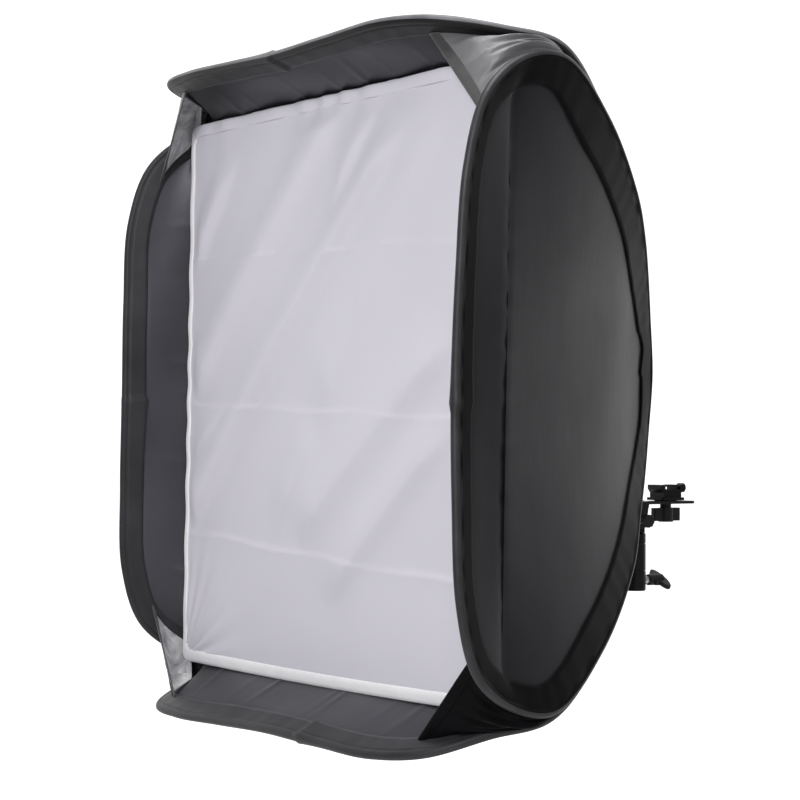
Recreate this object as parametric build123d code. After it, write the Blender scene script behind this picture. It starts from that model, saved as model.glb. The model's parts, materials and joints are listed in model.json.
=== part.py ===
from build123d import *
import math
import os

os.makedirs("parts", exist_ok=True)

# Fold-flat square softbox for a speedlight, on an L-shaped bracket with a tilting stand socket.
# Millimetres. The origin is the middle of the stand socket's mouth, +Z is up, and the diffuser faces -Y.

# ---------------------------------------------------------------- the softbox
DIFFUSER_WIDTH = 600.0
DIFFUSER_HEIGHT = 580.0
STAND_OFFSET = 381.5  # stand axis behind the diffuser
CHAMBER_DEPTH = 341.0  # diffuser to the ring plate's front face
RING_HEIGHT = 229.5  # centre of the ring above the socket's mouth
DROOP = 0.05  # the soft front hangs: drop per mm forward of the ring
LEAN = 0.02  # the top edge leans back: mm per mm of height

WIRE_RADIUS = 1.2
SLEEVE_INNER_RADIUS = 3.0
SLEEVE_RADIUS = 5.5
FERRULE_LENGTH = 30.0
WIRE_END_GAP = 2.0
FABRIC = 1.2
LINING = 0.8

SIDES = ["right", "top", "left", "bottom"]

# The right hoop's upper half, from the middle of its front edge round to the middle of its rear edge:
# across, back from the diffuser, up. The other three hoops are the same one turned a quarter at a time.
HOOP_HALF = [
    (328, -63, 0),
    (332, -59, 190),
    (326, -34, 252),
    (304, 64, 296),
    (250, 150, 242),
    (185, 234, 177),
    (146, 274, 138),
    (82, 328, 74),
    (79, 338, 0),
]

# Rows of a side panel from front to rear: across, back, half height, forward bulge of the row's middle,
# and how far the row's middle is drawn in.
PANEL_ROWS = [
    (325, -35, 229, 21, 0),
    (318, -2, 254, 0, 13),
    (299, 64, 275, 0, 20),
    (250, 150, 232, 0, 24),
    (185, 234, 167, 0, 16),
    (146, 274, 128, -2, 8),
    (84, 317, 65, -10, 3),
]
LIP_INSET = 2.6
ROW_STEPS = 8

GUSSET_CORNER = (317, -24, 259)
GUSSET_APEX = (295, 56)
GUSSET_HEM_WIDTH = 10.0
GUSSET_THICKNESS = 1.0

HEM_WIDTH = 12.0
DIFFUSER_CORNER = 26.0
HEM_THICKNESS = 0.9
DIFFUSER_THICKNESS = 0.8
TAPE_WIDTH = 20.0
TAPE_THICKNESS = 1.5

# ---------------------------------------------------------------- the ring and the bracket
RING_INNER_RADIUS = 54.0
RING_OUTER_RADIUS = 68.0
RING_THICKNESS = 2.5
PLATE = 3.0
PLATE_FRONT = CHAMBER_DEPTH - STAND_OFFSET
RING_STUD_RADIUS = 2.5
RING_STUD_FROM_CENTRE = 61.0
RING_STUD_END = 14.0  # how far the studs reach behind the plate's front face
COLLAR_HALF = 72.0
COLLAR_CORNER = 20.0
EYELET_RADIUS = 4.8

ARM_WIDTH = 30.0
ARM_TOP = 95.5
ARM_END = 71.0
BEND_RADIUS = 4.0
SLOT_WIDTH = 6.6
SLOT_START = 26.6
SLOT_END = 62.0

# ---------------------------------------------------------------- the stand socket and its tilting head
SOCKET_BORE_RADIUS = 8.1
SOCKET_BORE_DEPTH = 52.0
SOCKET_RADIUS = 11.2
SOCKET_HEIGHT = 63.0
PIVOT_HEIGHT = 75.0
EAR_THICKNESS = 10.0
EAR_RADIUS = 9.0
TILT_BOLT_RADIUS = 3.0
RUNNING = 0.05
CHEEK_GAP = 11.2
CHEEK = 3.0
CLEVIS_LENGTH = 24.0
RIVET_SPACING = 16.0
RIVET_RADIUS = 2.0
TILT_KNOB_RADIUS = 7.0
TILT_KNOB_START = 14.5
TILT_BOLT_END = 21.0

CLAMP_HEIGHT = 11.0
CLAMP_SCREW_RADIUS = 3.95
PAD_THICKNESS = 2.0
WING_SPAN = 36.0
WING_REACH = 33.5  # middle of the lobes, from the stand's axis
WING_THICKNESS = 5.0
WING_TURN = 28.0

# ---------------------------------------------------------------- the cold shoe on its sliding stud
SHOE_BEHIND = 41.0
STUD_RADIUS = 3.15
SHOE_BASE_SIZE = 30.0
SHOE_BASE_BOTTOM = 96.4
SHOE_BASE_THICKNESS = 3.0
SHOE_BLOCK_SIZE = 24.0
SHOE_FLOOR = 108.0
SHOE_TOP = 113.0
SHOE_FOOT_HALF = 9.4
SHOE_GAP_HALF = 6.3
SHOE_LIP = 2.0
SHOE_NEAR_WALL = 15.0
SHOE_FAR_WALL = 16.0
JAW_THICKNESS = 1.6
JAW_SCREW_RADIUS = 1.5
THUMB_NUT_BOTTOM = 73.0
THUMB_NUT_SPAN = 35.0
THUMB_NUT_TOP = 88.0


def keep(name, shape):
    """Write one sub-part to its own file."""
    export_step(shape, f"parts/{name}.step")


def group(solids):
    """Several separate solids that share one node."""
    return Compound(children=list(solids))


def spot(x, y, z):
    """A softbox point (across, back from the diffuser, up from its axis) in the part's frame."""
    height = RING_HEIGHT + z + DROOP * (y - CHAMBER_DEPTH)
    return Vector(x, y - STAND_OFFSET + LEAN * z, height)


def turned(point, quarters):
    """The same softbox point on another of the four sides."""
    x, y, z = point
    for _ in range(quarters):
        x, z = -z, x
    return x, y, z


def cylinder_along(direction, radius, start, end):
    """A cylinder on an axis through the origin, from start to end along the direction."""
    base = Plane(origin=Vector(direction) * start, z_dir=direction)
    return extrude(base * Circle(radius), end - start)


# ================================================================ the softbox
def hoop_route(quarters):
    """The wire's route, from one end inside the ferrule round to the other."""
    front = HOOP_HALF[0]
    upper = HOOP_HALF[1:]
    lower = [(x, y, -z) for x, y, z in reversed(HOOP_HALF[1:-1])]
    start = (front[0], front[1], WIRE_END_GAP / 2)
    end = (front[0], front[1], -WIRE_END_GAP / 2)
    points = [start, *upper, *lower, end]
    return [spot(*turned(point, quarters)) for point in points]


def bend_radii(points):
    """The largest arc that the two runs at each corner leave room for."""
    radii = []
    for before, corner, after in zip(points, points[1:], points[2:]):
        run_in = corner - before
        run_out = after - corner
        half_turn = math.radians(run_in.get_angle(run_out)) / 2
        radii.append(0.45 * min(run_in.length, run_out.length) / math.tan(half_turn))
    return radii


def hoop_path(quarters):
    points = hoop_route(quarters)
    return FilletPolyline(*points, radius=bend_radii(points))


def along(path, section):
    """Sweep a flat section along a path."""
    start = Plane(origin=path @ 0, z_dir=path % 0)
    return sweep(start * section, path=path)


def hoop_wire(quarters):
    """Sprung steel hoop, open where its ends meet in the ferrule."""
    return along(hoop_path(quarters), Circle(WIRE_RADIUS))


def hoop_ferrule(quarters):
    """Crimped tube over the two ends of the hoop."""
    front = HOOP_HALF[0]
    a = spot(*turned((front[0], front[1], -WIRE_END_GAP), quarters))
    b = spot(*turned((front[0], front[1], WIRE_END_GAP), quarters))
    middle = (a + b) * 0.5
    place = Plane(origin=middle, z_dir=b - a)
    ring = Circle(SLEEVE_INNER_RADIUS - 0.5) - Circle(WIRE_RADIUS + 0.5)
    return extrude(place * ring, FERRULE_LENGTH / 2, both=True)


def binding(quarters):
    """Tape sewn round the hoop, a sleeve that carries the fabric's edge."""
    return along(hoop_path(quarters), Circle(SLEEVE_RADIUS) - Circle(SLEEVE_INNER_RADIUS))


def row_points(row, quarters, inset):
    """Points across one row of a side panel."""
    x, y, half, bulge, drawn_in = row
    points = []
    for step in range(-ROW_STEPS // 2, ROW_STEPS // 2 + 1):
        v = 2 * step / ROW_STEPS
        across = x - inset - drawn_in * (1 - v * v)
        back = y - bulge * (1 - v**4)
        points.append(spot(*turned((across, back, v * half), quarters)))
    return points


def skin(rows, quarters, inset, thickness):
    """A curved sheet through rows of points, given its thickness."""
    grid = [row_points(row, quarters, inset) for row in rows]
    face = Face.make_surface_from_array_of_points(grid)
    return Solid.thicken(face, thickness)


def side_panel(quarters):
    """Outer fabric of one side, black outside and silvered inside."""
    return skin(PANEL_ROWS, quarters, 0, FABRIC)


def lip(quarters):
    """Black facing inside the part of the panel that stands in front of the diffuser."""
    front, at_diffuser = PANEL_ROWS[0], PANEL_ROWS[1]
    rows = []
    for share in (0.08, 0.4, 0.7, 1.0):
        mixed = [a + (b - a) * share for a, b in zip(front, at_diffuser)]
        mixed[1] = mixed[1] - 4 * share
        mixed[2] = mixed[2] - 4
        rows.append(mixed)
    return skin(rows, quarters, LIP_INSET, LINING)


def flat_piece(points, thickness):
    """A thin flat piece with straight edges, thickened square to its face."""
    face = Face(Wire.make_polygon(points, close=True))
    return extrude(face, thickness / 2, both=True)


def gusset(quarters):
    """Web between two neighbouring hoops at a front corner."""
    x, y, z = GUSSET_CORNER
    diagonal, apex_back = GUSSET_APEX
    corners = [(x, y, z), (z, y, x), (diagonal, apex_back, diagonal)]
    return flat_piece([spot(*turned(c, quarters)) for c in corners], GUSSET_THICKNESS)


def gusset_hem(quarters):
    """Elastic edging along the gusset's free edge."""
    x, y, z = GUSSET_CORNER
    front = y - GUSSET_HEM_WIDTH
    back = y - 0.3
    corners = [(x, back, z), (z, back, x), (z, front, x), (x, front, z)]
    return flat_piece([spot(*turned(c, quarters)) for c in corners], 2 * GUSSET_THICKNESS)


def slab(half_x, half_z, front, back, corner_radius=0):
    """A flat sheet parallel to the diffuser, leaning and hanging with the softbox."""
    corners = [(-half_x, -half_z), (half_x, -half_z), (half_x, half_z), (-half_x, half_z)]
    near = Face(Wire.make_polygon([spot(x, front, z) for x, z in corners], close=True))
    far_offset = spot(0, back, 0) - spot(0, front, 0)
    if corner_radius:
        near = near.fillet_2d(corner_radius, near.vertices())
    return extrude(near, amount=far_offset.length, dir=far_offset.normalized())


def frame_slab(half_x, half_z, width, front, back):
    """A slab with rounded corners and its middle cut out."""
    outer = slab(half_x, half_z, front, back, DIFFUSER_CORNER)
    return outer - slab(half_x - width, half_z - width, front - 1, back + 1, DIFFUSER_CORNER - width / 2)


def tape_strips(front, back):
    """Four strips of hook-and-loop tape behind the diffuser's hem."""
    ring = frame_slab(DIFFUSER_WIDTH / 2, DIFFUSER_HEIGHT / 2, TAPE_WIDTH, front, back)
    corner = DIFFUSER_CORNER + 4
    upright = slab(DIFFUSER_WIDTH / 2 - corner, DIFFUSER_HEIGHT / 2 + 1, front - 1, back + 1)
    level = slab(DIFFUSER_WIDTH / 2 + 1, DIFFUSER_HEIGHT / 2 - corner, front - 1, back + 1)
    return group((ring & (upright + level)).solids())


def build_softbox():
    for quarters, side in enumerate(SIDES):
        keep(f"hoop_{side}", hoop_wire(quarters))
        keep(f"binding_{side}", binding(quarters))
        keep(f"panel_{side}", side_panel(quarters))
        keep(f"lip_{side}", lip(quarters))
    corners = ["top_right", "top_left", "bottom_left", "bottom_right"]
    for quarters, corner in enumerate(corners):
        keep(f"gusset_{corner}", gusset(quarters))
    keep("hoop_ferrules", group(hoop_ferrule(q) for q in range(4)))
    keep("gusset_hems", group(gusset_hem(q) for q in range(4)))

    half_x = DIFFUSER_WIDTH / 2
    half_z = DIFFUSER_HEIGHT / 2
    back = DIFFUSER_THICKNESS
    keep("front_diffuser", slab(half_x, half_z, 0, back, DIFFUSER_CORNER))
    keep("diffuser_hem", frame_slab(half_x, half_z, HEM_WIDTH, -HEM_THICKNESS, 0))
    keep("hook_tape", tape_strips(back, back + TAPE_THICKNESS))
    keep("loop_tape", tape_strips(back + TAPE_THICKNESS, back + 2 * TAPE_THICKNESS))


# ================================================================ the ring that holds the softbox
def facing_back(y, x=0.0, z=RING_HEIGHT):
    """A plane square to Y at the given place, its normal pointing back."""
    return Plane(origin=(x, y, z), x_dir=(-1, 0, 0), z_dir=(0, 1, 0))


def stud_places(y):
    return [facing_back(y, 0, RING_HEIGHT + s * RING_STUD_FROM_CENTRE) for s in (1, -1)]


def ring_disc(y, thickness):
    ring = Circle(RING_OUTER_RADIUS) - Circle(RING_INNER_RADIUS)
    return extrude(facing_back(y) * ring, thickness)


def rear_collar():
    """Fabric that closes the chamber between the four rear edges and the ring."""
    outline = RectangleRounded(2 * COLLAR_HALF, 2 * COLLAR_HALF, COLLAR_CORNER)
    sheet = extrude(facing_back(PLATE_FRONT - FABRIC) * (outline - Circle(RING_INNER_RADIUS)), FABRIC)
    for place in stud_places(PLATE_FRONT - 2 * FABRIC):
        sheet -= extrude(place * Circle(EYELET_RADIUS), 4 * FABRIC)
    return sheet


def collar_eyelets():
    """Brass eyelets that line the collar's two stud holes."""
    ring = Circle(EYELET_RADIUS) - Circle(RING_STUD_RADIUS + 0.2)
    return group(extrude(place * ring, FABRIC) for place in stud_places(PLATE_FRONT - FABRIC))


def mounting_ring():
    return ring_disc(PLATE_FRONT - FABRIC - RING_THICKNESS, RING_THICKNESS)


def ring_studs():
    """Studs welded to the mounting ring, which pass through the collar and the plate."""
    start = PLATE_FRONT - FABRIC
    length = FABRIC + RING_STUD_END
    return group(extrude(place * Circle(RING_STUD_RADIUS), length) for place in stud_places(start))


def ring_nut(height):
    """Knurled thumb nut on a ring stud."""
    start = PLATE_FRONT + PLATE + 0.3
    place = facing_back(start, 0, height)
    hub = extrude(place * Circle(5), 3)
    grip = Circle(8)
    for flute in range(14):
        angle = 2 * math.pi * flute / 14
        grip -= Pos(8.6 * math.cos(angle), 8.6 * math.sin(angle)) * Circle(1.2)
    nut = hub + extrude(facing_back(start + 3, 0, height) * grip, 7)
    return nut - extrude(place * Circle(RING_STUD_RADIUS + RUNNING), 14)


def bracket_plate():
    """L-shaped steel plate: a ring for the softbox, a neck, and a slotted arm for the shoe."""
    neck_top = RING_HEIGHT - RING_OUTER_RADIUS + 12
    arm_bottom = ARM_TOP - PLATE
    neck = Pos(0, (neck_top + arm_bottom) / 2 - RING_HEIGHT) * Rectangle(ARM_WIDTH, neck_top - arm_bottom)
    upright_face = Circle(RING_OUTER_RADIUS) + neck - Circle(RING_INNER_RADIUS)
    upright = extrude(facing_back(PLATE_FRONT) * upright_face, PLATE)
    for place in stud_places(PLATE_FRONT - 1):
        upright -= extrude(place * Circle(RING_STUD_RADIUS + 0.2), PLATE + 2)

    length = ARM_END - PLATE_FRONT
    middle = (ARM_END + PLATE_FRONT) / 2
    arm = Pos(0, middle, ARM_TOP - PLATE / 2) * Box(ARM_WIDTH, length, PLATE)
    arm = fillet(arm.edges().filter_by(Axis.Z).group_by(Axis.Y)[-1], 5)
    bent = upright + arm
    outer = bent.edges().filter_by(Axis.X).filter_by_position(Axis.Z, arm_bottom - 0.1, arm_bottom + 0.1)
    bent = fillet(outer.group_by(Axis.Y)[0], BEND_RADIUS)
    inner = [
        edge
        for edge in bent.edges().filter_by(Axis.X)
        if abs(edge.center().Z - ARM_TOP) < 0.1 and abs(edge.center().Y - PLATE_FRONT - PLATE) < 0.1
    ]
    bent = fillet(inner, BEND_RADIUS - PLATE)

    slot_middle = (SLOT_START + SLOT_END) / 2
    slot = SlotOverall(SLOT_END - SLOT_START, SLOT_WIDTH, rotation=90)
    bent -= extrude(Plane.XY.offset(arm_bottom - 1) * Pos(0, slot_middle) * slot, PLATE + 2)
    for y in (-RIVET_SPACING / 2, RIVET_SPACING / 2):
        bent -= Pos(0, y, ARM_TOP - PLATE / 2) * Cylinder(RIVET_RADIUS, PLATE + 2)
    return bent


def build_ring():
    keep("rear_collar", rear_collar())
    keep("collar_eyelets", collar_eyelets())
    keep("mounting_ring", mounting_ring())
    keep("ring_studs", ring_studs())
    keep("ring_nut_upper", ring_nut(RING_HEIGHT + RING_STUD_FROM_CENTRE))
    keep("ring_nut_lower", ring_nut(RING_HEIGHT - RING_STUD_FROM_CENTRE))
    keep("bracket_plate", bracket_plate())


# ================================================================ the stand socket and the tilting head
def at_pivot(shape):
    return Pos(0, 0, PIVOT_HEIGHT) * shape


def stand_receiver():
    """Turned socket for a stand's spigot, with an ear on top for the tilt bolt."""
    body = extrude(Circle(SOCKET_RADIUS), SOCKET_HEIGHT)
    body = chamfer(body.edges().sort_by(Axis.Z)[-1], 2.5)
    body = chamfer(body.edges().sort_by(Axis.Z)[0], 0.8)
    ear_foot = PIVOT_HEIGHT - SOCKET_HEIGHT + 3
    ear = Circle(EAR_RADIUS) + Pos(0, -ear_foot / 2) * Rectangle(2 * EAR_RADIUS, ear_foot)
    side = Plane(origin=(0, 0, PIVOT_HEIGHT), x_dir=(0, 1, 0), z_dir=(1, 0, 0))
    body += extrude(side * ear, EAR_THICKNESS / 2, both=True)
    body -= extrude(side * Circle(TILT_BOLT_RADIUS + RUNNING), EAR_THICKNESS, both=True)
    body -= extrude(Circle(SOCKET_BORE_RADIUS), SOCKET_BORE_DEPTH)
    body -= Pos(0, 0, CLAMP_HEIGHT) * cylinder_along((0, 1, 0), CLAMP_SCREW_RADIUS + RUNNING, 0, 20)
    groove = Circle(SOCKET_RADIUS + 1) - Circle(SOCKET_RADIUS - 0.6)
    for height in (21.0, 50.0):
        body -= Pos(0, 0, height) * extrude(groove, 1.2)
    return body


def pressure_pad():
    """Brass pad between the clamp screw and the stand's spigot, flush with the bore at rest."""
    blank = cylinder_along((0, 1, 0), CLAMP_SCREW_RADIUS, 0, SOCKET_BORE_RADIUS + PAD_THICKNESS)
    hollow = Pos(0, 0, -CLAMP_HEIGHT) * extrude(Circle(SOCKET_BORE_RADIUS + 0.05), 4 * CLAMP_HEIGHT)
    return Pos(0, 0, CLAMP_HEIGHT) * (blank - hollow)


def clamp_screw():
    """Steel screw of the socket clamp."""
    start = SOCKET_BORE_RADIUS + PAD_THICKNESS + 0.05
    return Pos(0, 0, CLAMP_HEIGHT) * cylinder_along((0, 1, 0), CLAMP_SCREW_RADIUS, start, WING_REACH)


def clamp_wing():
    """Two-lobed plastic wing moulded on the clamp screw, one lobe raised towards the back."""
    hub = cylinder_along((0, 1, 0), 6.0, 16.5, WING_REACH + 2)
    hub = fillet(hub.edges(), 1.0)
    across = Plane(origin=(0, 0, 0), x_dir=(1, 0, 0), z_dir=(0, 0, 1))
    lobes = Pos(0, WING_REACH) * Ellipse(WING_SPAN / 2, 7)
    lobes += Pos(0, WING_REACH - 5.5) * Rectangle(16, 11)
    wing = extrude(across * lobes, WING_THICKNESS / 2, both=True)
    wing = fillet(wing.edges().filter_by(GeomType.ELLIPSE), 1.6)
    wing += hub
    wing -= cylinder_along((0, 1, 0), CLAMP_SCREW_RADIUS, 10, WING_REACH)
    return Pos(0, 0, CLAMP_HEIGHT) * Rot(0, WING_TURN, 0) * wing


def tilt_clevis():
    """Steel channel riveted under the arm, which holds the socket's ear between its cheeks."""
    top = ARM_TOP - PLATE
    outer = CHEEK_GAP + 2 * CHEEK
    roof = Pos(0, 0, top - CHEEK / 2) * Box(outer, CLEVIS_LENGTH, CHEEK)
    side = Plane(origin=(0, 0, PIVOT_HEIGHT), x_dir=(0, 1, 0), z_dir=(1, 0, 0))
    reach = top - PIVOT_HEIGHT
    wide = Polyline(
        (-EAR_RADIUS, 0), (-CLEVIS_LENGTH / 2, reach), (CLEVIS_LENGTH / 2, reach), (EAR_RADIUS, 0), close=True
    )
    cheek = Circle(EAR_RADIUS) + make_face(wide) - Circle(TILT_BOLT_RADIUS + RUNNING)
    cheeks = extrude(side * cheek, outer / 2, both=True)
    cheeks -= Pos(0, 0, PIVOT_HEIGHT) * Box(CHEEK_GAP, 2 * CLEVIS_LENGTH, 2 * (reach - CHEEK))
    clevis = roof + cheeks
    for y in (-RIVET_SPACING / 2, RIVET_SPACING / 2):
        clevis -= Pos(0, y, top - CHEEK / 2) * Cylinder(RIVET_RADIUS, CHEEK + 2)
    return clevis


def clevis_rivets():
    """Rivets through the arm and the clevis, domed on top."""
    length = PLATE + CHEEK
    rivets = []
    for y in (-RIVET_SPACING / 2, RIVET_SPACING / 2):
        shank = Pos(0, y, ARM_TOP - length / 2) * Cylinder(RIVET_RADIUS, length)
        head = Pos(0, y, ARM_TOP + 0.6) * Cylinder(3.4, 1.2)
        head = fillet(head.edges().sort_by(Axis.Z)[-1], 1.0)
        rivets.append(shank + head)
    return group(rivets)


def tilt_washers():
    """Friction discs between the ear and the clevis's cheeks."""
    ring = Circle(EAR_RADIUS - 0.5) - Circle(TILT_BOLT_RADIUS + 0.1)
    start = EAR_THICKNESS / 2 + 0.04
    thickness = (CHEEK_GAP - EAR_THICKNESS) / 2 - 0.06
    discs = []
    for side in (1, -1):
        place = Plane(origin=(side * start, 0, PIVOT_HEIGHT), z_dir=(side, 0, 0))
        discs.append(extrude(place * ring, thickness))
    return group(discs)


def tilt_bolt():
    """Hex-headed bolt through the clevis and the ear."""
    face = CHEEK_GAP / 2 + CHEEK
    shank = cylinder_along((1, 0, 0), TILT_BOLT_RADIUS, -face, TILT_BOLT_END)
    head_place = Plane(origin=(-face, 0, 0), z_dir=(-1, 0, 0))
    head = extrude(head_place * RegularPolygon(5.6, 6), 4)
    return at_pivot(shank + head)


def tilt_knob():
    """Fluted knob that locks the tilt."""
    start = CHEEK_GAP / 2 + CHEEK + 0.3
    hub = cylinder_along((1, 0, 0), 5.2, start, TILT_KNOB_START)
    place = Plane(origin=(TILT_KNOB_START, 0, 0), z_dir=(1, 0, 0))
    grip = Circle(TILT_KNOB_RADIUS)
    for flute in range(9):
        angle = 2 * math.pi * flute / 9
        reach = TILT_KNOB_RADIUS + 0.6
        grip -= Pos(reach * math.cos(angle), reach * math.sin(angle)) * Circle(1.3)
    knob = hub + extrude(place * grip, 10.5)
    knob = fillet(knob.edges().group_by(Axis.X)[-1], 0.8)
    return at_pivot(knob - cylinder_along((1, 0, 0), TILT_BOLT_RADIUS + RUNNING, 0, TILT_BOLT_END + 0.3))


def build_head():
    keep("stand_receiver", stand_receiver())
    keep("pressure_pad", pressure_pad())
    keep("clamp_screw", clamp_screw())
    keep("clamp_wing", clamp_wing())
    keep("tilt_clevis", tilt_clevis())
    keep("clevis_rivets", clevis_rivets())
    keep("tilt_washers", tilt_washers())
    keep("tilt_bolt", tilt_bolt())
    keep("tilt_knob", tilt_knob())


# ================================================================ the cold shoe
def at_shoe(shape):
    return Pos(0, SHOE_BEHIND, 0) * shape


def disc(radius, bottom, top):
    return Pos(0, 0, bottom) * extrude(Circle(radius), top - bottom)


def shoe_stud():
    """Quarter-inch stud: a round head under the shoe, a square neck in the slot, a plain end for the nut."""
    arm_bottom = ARM_TOP - PLATE
    neck = Pos(0, 0, arm_bottom + PLATE / 2) * Box(2 * STUD_RADIUS, 2 * STUD_RADIUS, PLATE)
    head_bottom = SHOE_BASE_BOTTOM + 1.0
    stud = disc(STUD_RADIUS, THUMB_NUT_BOTTOM + 2, head_bottom + 1) + neck
    return at_shoe(stud + disc(7, head_bottom + 0.05, head_bottom + 1.9))


def shoe_pad():
    """Rubber washer between the arm and the shoe."""
    return at_shoe(disc(12, ARM_TOP, SHOE_BASE_BOTTOM - 0.05) - disc(STUD_RADIUS + 0.3, ARM_TOP - 1, ARM_TOP + 2))


def shoe_side(outline, half_length):
    """A profile across the shoe, drawn in Y and Z, extruded along X."""
    side = Plane(origin=(0, 0, 0), x_dir=(0, 1, 0), z_dir=(1, 0, 0))
    return extrude(side * make_face(Polyline(*outline, close=True)), half_length, both=True)


def cold_shoe():
    """Cold shoe with a moving jaw in its far wall; the foot's channel runs along X."""
    base_top = SHOE_BASE_BOTTOM + SHOE_BASE_THICKNESS
    base = disc(1, SHOE_BASE_BOTTOM, base_top)
    base += Pos(0, 0, SHOE_BASE_BOTTOM + SHOE_BASE_THICKNESS / 2) * Box(
        SHOE_BASE_SIZE, SHOE_BASE_SIZE, SHOE_BASE_THICKNESS
    )
    base = fillet(base.edges().filter_by(Axis.Z), 2.5)
    half = SHOE_BLOCK_SIZE / 2
    block = Pos(0, 0, (base_top + SHOE_FLOOR) / 2) * Box(SHOE_BLOCK_SIZE, SHOE_BLOCK_SIZE, SHOE_FLOOR - base_top)
    jaw_wall = SHOE_FOOT_HALF + JAW_THICKNESS + 0.1
    lip_bottom = SHOE_TOP - SHOE_LIP
    profile = [
        (-half, SHOE_FLOOR - 3.5),
        (-SHOE_NEAR_WALL, SHOE_FLOOR + 0.5),
        (-SHOE_NEAR_WALL, SHOE_TOP),
        (-SHOE_GAP_HALF, SHOE_TOP),
        (-SHOE_GAP_HALF, lip_bottom),
        (-SHOE_FOOT_HALF, lip_bottom),
        (-SHOE_FOOT_HALF, SHOE_FLOOR),
        (jaw_wall, SHOE_FLOOR),
        (jaw_wall, lip_bottom),
        (SHOE_GAP_HALF, lip_bottom),
        (SHOE_GAP_HALF, SHOE_TOP),
        (SHOE_FAR_WALL, SHOE_TOP),
        (SHOE_FAR_WALL, SHOE_FLOOR + 0.5),
        (half, SHOE_FLOOR - 3.5),
    ]
    shoe = base + block + shoe_side(profile, half)
    shoe -= disc(STUD_RADIUS + RUNNING, SHOE_BASE_BOTTOM - 1, SHOE_FLOOR + 1)
    shoe -= disc(7.1, SHOE_BASE_BOTTOM + 1.0, SHOE_FLOOR - 3)
    hole = cylinder_along((0, 1, 0), JAW_SCREW_RADIUS + RUNNING, SHOE_FOOT_HALF, SHOE_FAR_WALL + 1)
    return at_shoe(shoe - Pos(0, 0, (SHOE_FLOOR + lip_bottom) / 2) * hole)


def shoe_jaw():
    """Small plate that the clamp screw pushes against the flash's foot."""
    middle = (SHOE_FLOOR + SHOE_TOP - SHOE_LIP) / 2
    height = SHOE_TOP - SHOE_LIP - SHOE_FLOOR - 0.2
    return at_shoe(Pos(0, SHOE_FOOT_HALF + JAW_THICKNESS / 2, middle) * Box(16, JAW_THICKNESS, height))


def jaw_screw():
    """Captive clamp screw with its knurled knob."""
    height = (SHOE_FLOOR + SHOE_TOP - SHOE_LIP) / 2
    start = SHOE_FOOT_HALF + JAW_THICKNESS + 0.1
    screw = cylinder_along((0, 1, 0), JAW_SCREW_RADIUS, start, SHOE_FAR_WALL + 3)
    collar = cylinder_along((0, 1, 0), 3, SHOE_FAR_WALL + 0.1, SHOE_FAR_WALL + 2)
    place = Plane(origin=(0, SHOE_FAR_WALL + 1.5, 0), z_dir=(0, 1, 0))
    grip = Circle(5)
    for flute in range(16):
        angle = 2 * math.pi * flute / 16
        grip -= Pos(5.25 * math.cos(angle), 5.25 * math.sin(angle)) * Circle(0.6)
    return at_shoe(Pos(0, 0, height) * (screw + collar + extrude(place * grip, 6.5)))


def thumb_nut():
    """Plastic two-winged nut under the arm."""
    height = THUMB_NUT_TOP - THUMB_NUT_BOTTOM
    core = disc(8, THUMB_NUT_BOTTOM, THUMB_NUT_TOP)
    wings = Pos(0, 0, THUMB_NUT_BOTTOM + height / 2 + 0.5) * Box(8, THUMB_NUT_SPAN, height - 1)
    wings = fillet(wings.edges().filter_by(Axis.Z), 2)
    hub = disc(6, THUMB_NUT_TOP - 1, ARM_TOP - PLATE - 0.3)
    bore = disc(5, THUMB_NUT_BOTTOM - 1, ARM_TOP)
    return at_shoe(core + wings + hub - bore)


def thumb_nut_insert():
    """Brass bush moulded in the nut."""
    outer = disc(5, THUMB_NUT_BOTTOM, ARM_TOP - PLATE - 0.3)
    return at_shoe(outer - disc(STUD_RADIUS + RUNNING, THUMB_NUT_BOTTOM - 1, ARM_TOP))


def build_shoe():
    keep("shoe_stud", shoe_stud())
    keep("shoe_pad", shoe_pad())
    keep("cold_shoe", cold_shoe())
    keep("shoe_jaw", shoe_jaw())
    keep("jaw_screw", jaw_screw())
    keep("thumb_nut", thumb_nut())
    keep("thumb_nut_insert", thumb_nut_insert())


build_softbox()
build_ring()
build_head()
build_shoe()
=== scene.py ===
import json
import math

import bpy
import numpy as np
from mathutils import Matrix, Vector
from mathutils.bvhtree import BVHTree


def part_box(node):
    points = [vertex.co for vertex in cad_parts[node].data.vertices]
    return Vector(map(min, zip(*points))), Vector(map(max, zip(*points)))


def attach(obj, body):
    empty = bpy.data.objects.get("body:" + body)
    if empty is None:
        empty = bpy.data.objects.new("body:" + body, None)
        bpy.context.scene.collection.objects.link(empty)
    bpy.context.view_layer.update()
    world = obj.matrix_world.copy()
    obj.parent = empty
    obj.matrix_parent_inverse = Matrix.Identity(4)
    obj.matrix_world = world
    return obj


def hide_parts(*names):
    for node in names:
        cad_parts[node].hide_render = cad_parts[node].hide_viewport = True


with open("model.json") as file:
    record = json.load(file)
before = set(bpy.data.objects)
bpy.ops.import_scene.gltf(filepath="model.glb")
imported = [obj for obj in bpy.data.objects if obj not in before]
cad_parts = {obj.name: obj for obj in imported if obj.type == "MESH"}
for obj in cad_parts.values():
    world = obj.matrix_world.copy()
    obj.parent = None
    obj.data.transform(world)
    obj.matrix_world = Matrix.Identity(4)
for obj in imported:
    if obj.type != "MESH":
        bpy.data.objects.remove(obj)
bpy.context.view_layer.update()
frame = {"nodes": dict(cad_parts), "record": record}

# Metres, in the part's frame: origin at the stand socket's mouth, +Z up, diffuser facing -Y.

# ---------------------------------------------------------------- driving sizes
HALF_WIDTH = 0.300  # diffuser
HALF_HEIGHT = 0.290
CORNER_RADIUS = 0.010
HEM_SAG = 0.003
STAND_OFFSET = 0.3815  # stand axis behind the diffuser
CHAMBER_DEPTH = 0.341  # diffuser to ring plate
DROOP = 0.05
LEAN = 0.02

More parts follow.
